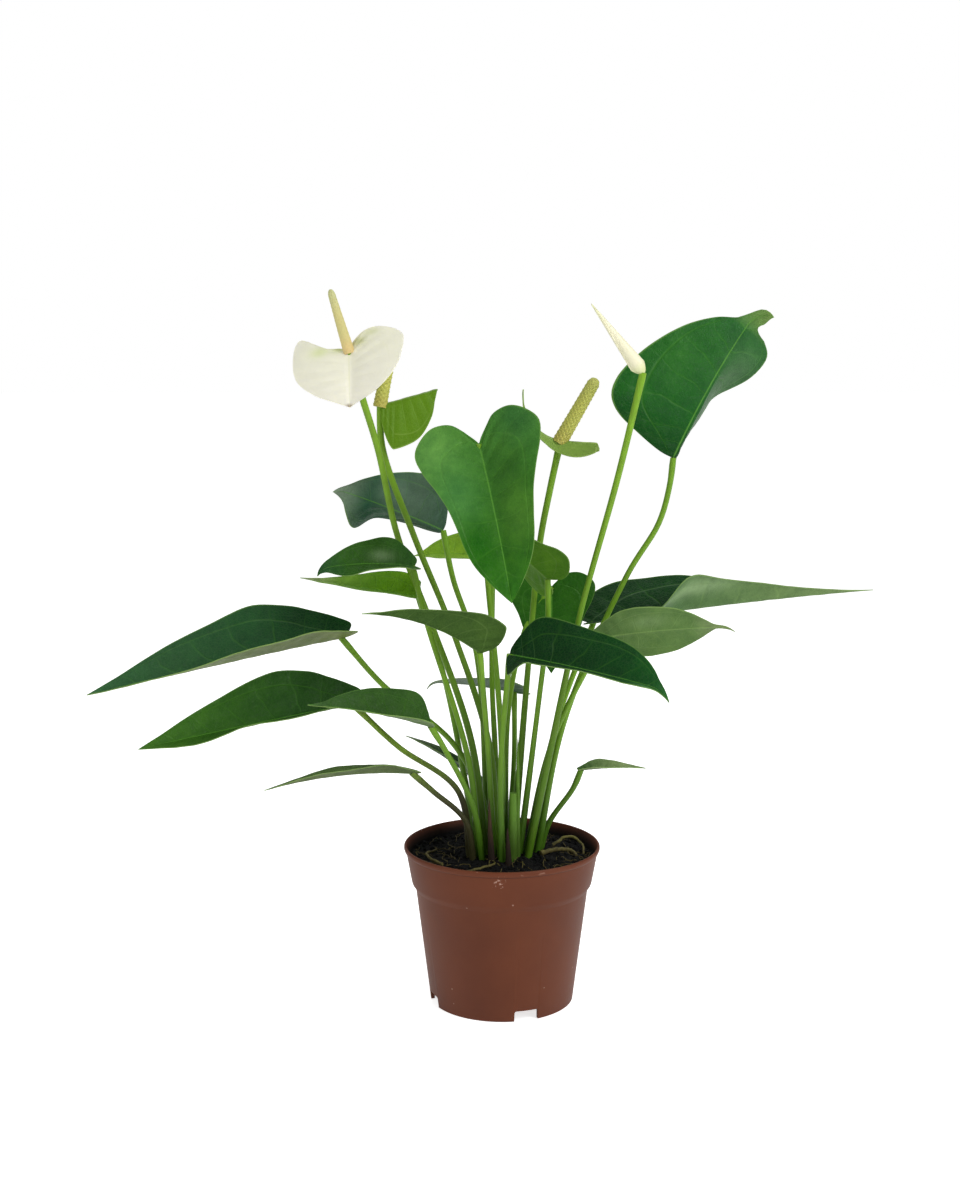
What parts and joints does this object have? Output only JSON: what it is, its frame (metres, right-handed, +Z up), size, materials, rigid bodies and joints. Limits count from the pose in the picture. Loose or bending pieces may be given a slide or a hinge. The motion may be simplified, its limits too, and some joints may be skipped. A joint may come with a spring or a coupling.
{
  "type": "potted anthurium",
  "caption": "Young flowering anthurium: heart-shaped leaves and spathe flowers on long stems, in a round tapered plastic nursery pot.",
  "frame": {"origin": "centre of the pot's foot, on the surface it stands on", "axes": "+X across the plant's widest spread of leaves, +Y away from its front, +Z up along the pot's axis"},
  "size_m": [0.4759, 0.1372, 0.4316],
  "materials": {
    "pot": "injection-moulded polypropylene, terracotta brown, fine matte grain, light scuffs on the rim",
    "soil": "dark peat potting mix, matte and crumbly",
    "root": "dry tan root bark, matte",
    "sheath": "dry papery bud sheath, matte brown",
    "young_shoot": "smooth pale green plant skin, satin",
    "petiole": "smooth green plant skin, satin",
    "peduncle": "smooth light green plant skin, satin",
    "leaf": "leathery waxy leaf, satin, paler veins and underside",
    "white_spathe": "waxy creamy white bract, satin",
    "green_spathe": "waxy light green bract, satin",
    "spadix": "fleshy spike of tiny packed flowers, matte"
  },
  "bodies": {
    "root": {"pot": "pot", "soil": "soil", "leaf_01_blade": "leaf", "leaf_01_petiole": "petiole", "leaf_02_blade": "leaf", "leaf_02_petiole": "petiole", "leaf_03_blade": "leaf", "leaf_03_petiole": "petiole", "leaf_04_blade": "leaf", "leaf_04_petiole": "petiole", "leaf_05_blade": "leaf", "leaf_05_petiole": "petiole", "leaf_06_blade": "leaf", "leaf_06_petiole": "petiole", "leaf_07_blade": "leaf", "leaf_07_petiole": "petiole", "leaf_08_blade": "leaf", "leaf_08_petiole": "petiole", "leaf_09_blade": "leaf", "leaf_09_petiole": "petiole", "leaf_10_blade": "leaf", "leaf_10_petiole": "petiole", "leaf_11_blade": "leaf", "leaf_11_petiole": "petiole", "leaf_12_blade": "leaf", "leaf_12_petiole": "petiole", "leaf_13_blade": "leaf", "leaf_13_petiole": "petiole", "leaf_14_blade": "leaf", "leaf_14_petiole": "petiole", "leaf_15_blade": "leaf", "leaf_15_petiole": "petiole", "leaf_16_blade": "leaf", "leaf_16_petiole": "petiole", "leaf_17_blade": "leaf", "leaf_17_petiole": "petiole", "leaf_18_blade": "leaf", "leaf_18_petiole": "petiole", "leaf_19_blade": "leaf", "leaf_19_petiole": "petiole", "flower_01_spathe": "white_spathe", "flower_01_peduncle": "peduncle", "flower_01_spadix": "spadix", "flower_02_spathe": "green_spathe", "flower_02_peduncle": "peduncle", "flower_02_spadix": "spadix", "flower_03_spathe": "green_spathe", "flower_03_peduncle": "peduncle", "flower_03_spadix": "spadix", "flower_04_bud": "white_spathe", "flower_04_peduncle": "peduncle", "shoot_stub": "young_shoot", "shoot_young": "young_shoot", "sheath_left": "sheath", "sheath_front": "sheath", "root_left": "root", "root_front": "root", "root_right": "root", "root_back": "root"}
  },
  "joints": []
}
